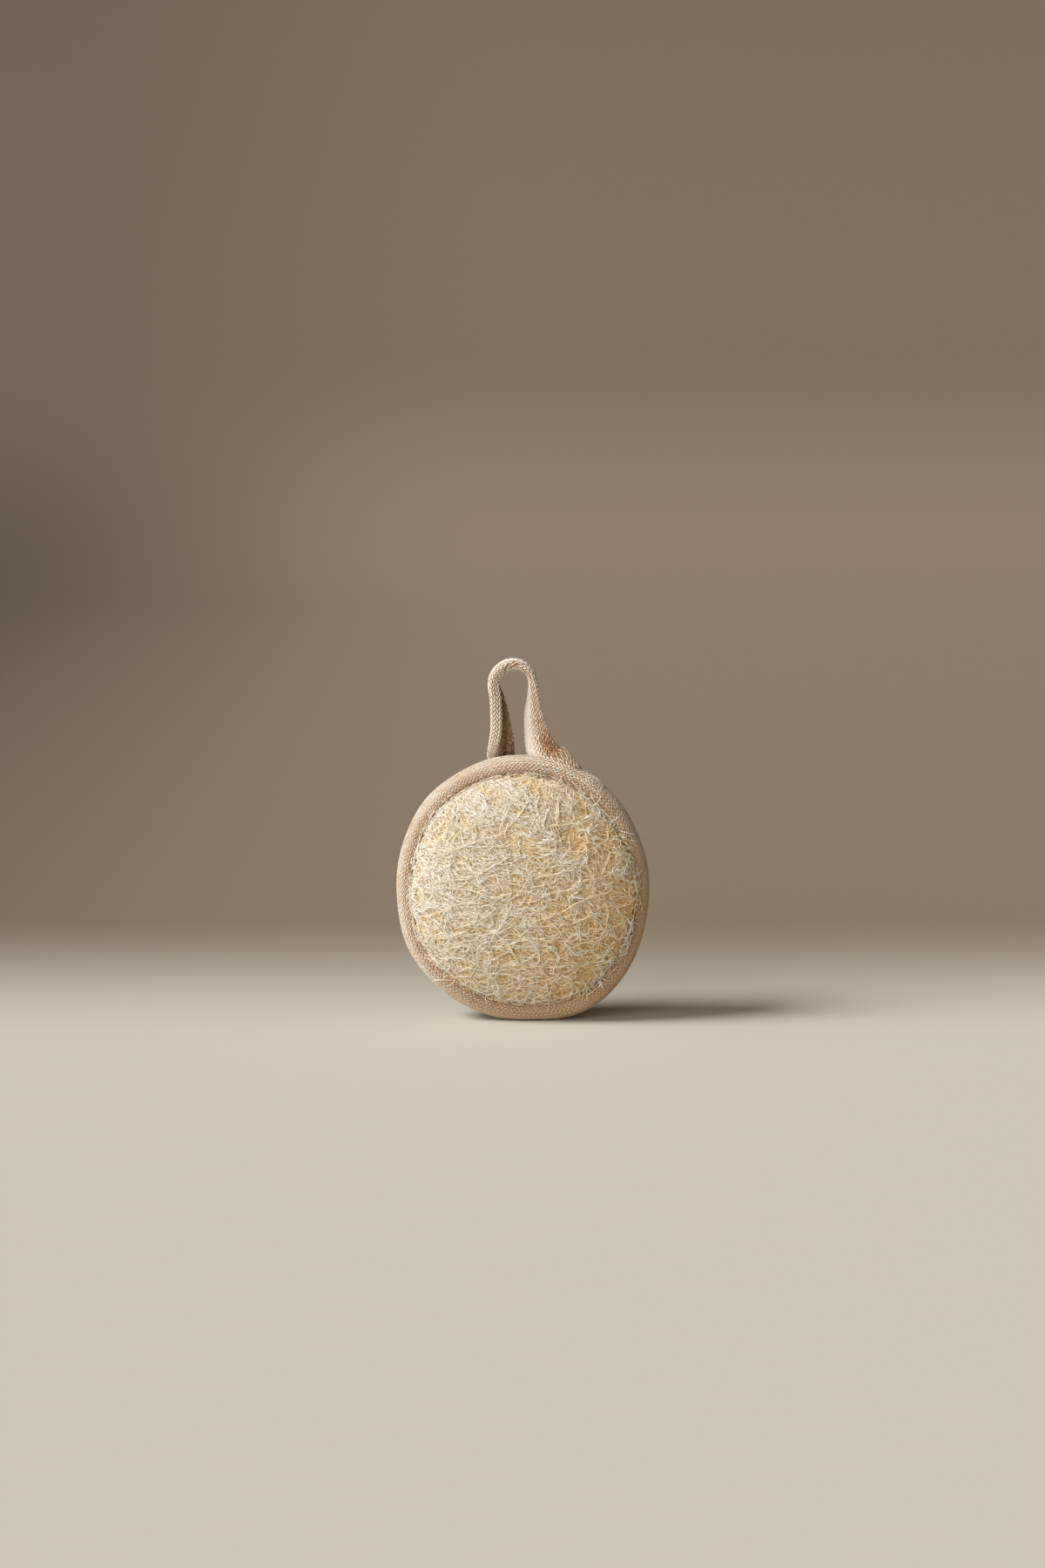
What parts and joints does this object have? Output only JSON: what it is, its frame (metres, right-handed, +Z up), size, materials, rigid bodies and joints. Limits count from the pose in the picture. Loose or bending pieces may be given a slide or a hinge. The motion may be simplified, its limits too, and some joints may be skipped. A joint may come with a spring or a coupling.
{
  "type": "natural loofah sponge",
  "caption": "Round loofah bath sponge, domed on both faces, bound round its rim with woven cotton tape that also forms a hanging loop.",
  "frame": {"origin": "under the middle of the sponge, on the surface that its rim stands on", "axes": "+X across the face to the viewer's right, +Y from the front face to the back face, +Z up through the hanging loop"},
  "size_m": [0.1002, 0.0398, 0.143],
  "materials": {
    "loofah": "matt dried plant fibre",
    "cotton_tape": "matt herringbone weave",
    "cotton_thread": "matt thread"
  },
  "bodies": {
    "root": {"loofah_pad": "loofah", "rim_binding": "cotton_tape", "hanging_loop": "cotton_tape", "seam_thread_front": "cotton_thread", "seam_thread_back": "cotton_thread"}
  },
  "joints": []
}
